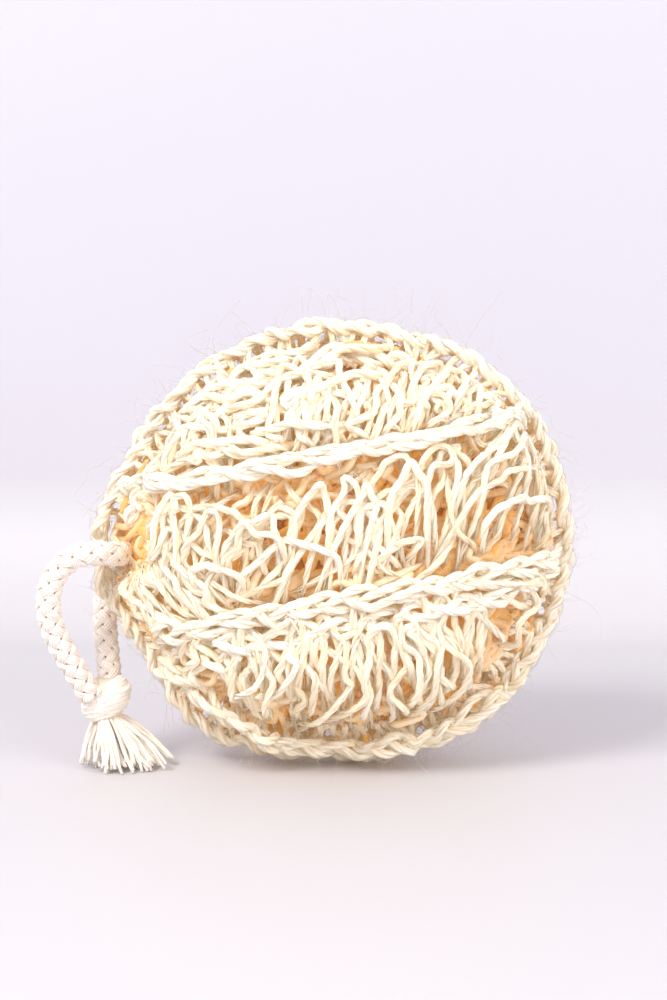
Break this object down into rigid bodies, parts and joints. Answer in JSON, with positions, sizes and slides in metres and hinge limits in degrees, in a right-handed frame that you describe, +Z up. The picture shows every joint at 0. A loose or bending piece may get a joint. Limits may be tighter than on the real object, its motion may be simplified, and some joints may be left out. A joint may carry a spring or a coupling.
{
  "type": "sisal body scrub pad",
  "caption": "Round crocheted sisal scrub pad for dry brushing the body, with looped faces, ribs, an outer rim chain and a knotted braided cotton hanging cord.",
  "frame": {"origin": "on the floor, under the middle of the pad's box, without the cord", "axes": "+X to the right, away from the cord; -Y is the front face; +Z up, with the pad standing on its edge"},
  "size_m": [0.1346, 0.0536, 0.113],
  "materials": {
    "sisal_loops": "coarse glossy plant fibre yarn",
    "sisal_chain": "twisted plant fibre yarn, chain stitched",
    "sisal_filling": "loose plant fibre yarn",
    "cotton": "braided cotton cord",
    "cotton_tassel": "cut cotton yarn ends"
  },
  "bodies": {
    "pad": {"filling": "sisal_filling", "edging": "sisal_chain", "outer_rim_chain": "sisal_chain", "front_top_chain": "sisal_chain", "front_upper_rib": "sisal_chain", "front_lower_rib": "sisal_chain", "front_bottom_chain": "sisal_chain", "front_upper_loops": "sisal_loops", "front_middle_loops": "sisal_loops", "front_lower_loops": "sisal_loops", "back_top_chain": "sisal_chain", "back_upper_rib": "sisal_chain", "back_lower_rib": "sisal_chain", "back_bottom_chain": "sisal_chain", "back_upper_loops": "sisal_loops", "back_middle_loops": "sisal_loops", "back_lower_loops": "sisal_loops"},
    "cord_loop": {"cord_front_leg": "cotton", "cord_back_leg": "cotton", "knot_wrap": "cotton", "tassel": "cotton_tassel"}
  },
  "joints": [
    {"name": "cord_swing", "type": "hinge", "parent": "pad", "child": "cord_loop", "pos_m": [-0.0519, 0, 0.054], "axis": [0, 1, 0], "range_deg": [-5, 95]}
  ]
}
